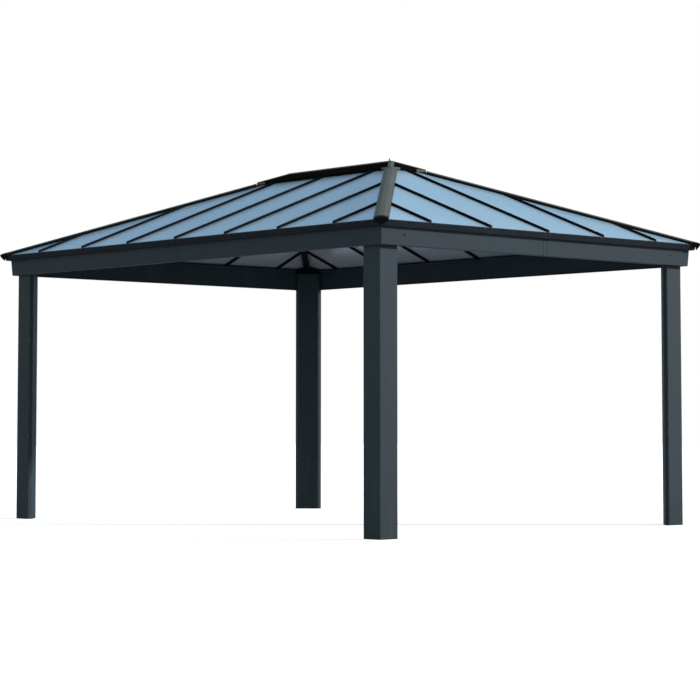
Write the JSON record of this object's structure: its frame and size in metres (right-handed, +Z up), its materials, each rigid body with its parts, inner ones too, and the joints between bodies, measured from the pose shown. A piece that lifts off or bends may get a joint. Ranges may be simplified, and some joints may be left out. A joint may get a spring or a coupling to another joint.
{
  "type": "freestanding pergola with hipped roof",
  "caption": "Open-sided garden pergola: corner posts inside a header frame carry a hipped roof of translucent panes with a raised ridge vent.",
  "frame": {"origin": "on the ground under the middle of the roof", "axes": "+Z up, +X along the long side, -Y is the front long side"},
  "size_m": [4.991, 3.683, 3.0407],
  "materials": {
    "frame_paint": "satin powder coat, dark blue-grey green",
    "trim_paint": "satin powder coat, near black",
    "dark_fittings": "satin powder coat, black",
    "roof_panes": "smooth translucent twin-wall sheet, pale blue",
    "cap_metal": "satin, warm grey",
    "nose_plastic": "matt black",
    "vent_paint": "satin, brown-black"
  },
  "bodies": {
    "root": {"post_front_left": "frame_paint", "post_front_right": "frame_paint", "post_back_right": "frame_paint", "post_back_left": "frame_paint", "post_brackets": "dark_fittings", "header_front": "frame_paint", "header_right": "frame_paint", "header_back": "frame_paint", "header_left": "frame_paint", "header_splices": "frame_paint", "eave_trim_front": "trim_paint", "eave_trim_right": "trim_paint", "eave_trim_back": "trim_paint", "eave_trim_left": "trim_paint", "hip_rafter_front_left": "dark_fittings", "hip_rafter_front_right": "dark_fittings", "hip_rafter_back_right": "dark_fittings", "hip_rafter_back_left": "dark_fittings", "ridge_beam": "dark_fittings", "rafters_front": "dark_fittings", "rafters_right": "dark_fittings", "rafters_back": "dark_fittings", "rafters_left": "dark_fittings", "panes_front": "roof_panes", "panes_right": "roof_panes", "panes_back": "roof_panes", "panes_left": "roof_panes", "battens_front": "dark_fittings", "battens_right": "dark_fittings", "battens_back": "dark_fittings", "battens_left": "dark_fittings", "hip_cap_front_left": "cap_metal", "hip_cap_front_right": "cap_metal", "hip_cap_back_right": "cap_metal", "hip_cap_back_left": "cap_metal", "hip_noses": "nose_plastic", "vent_cover_front": "vent_paint", "vent_cover_right": "vent_paint", "vent_cover_back": "vent_paint", "vent_cover_left": "vent_paint", "vent_ribs": "dark_fittings", "vent_corners": "cap_metal", "vent_hip_strips": "cap_metal", "vent_ridge_strip": "cap_metal", "ridge_stud": "cap_metal"}
  },
  "joints": []
}
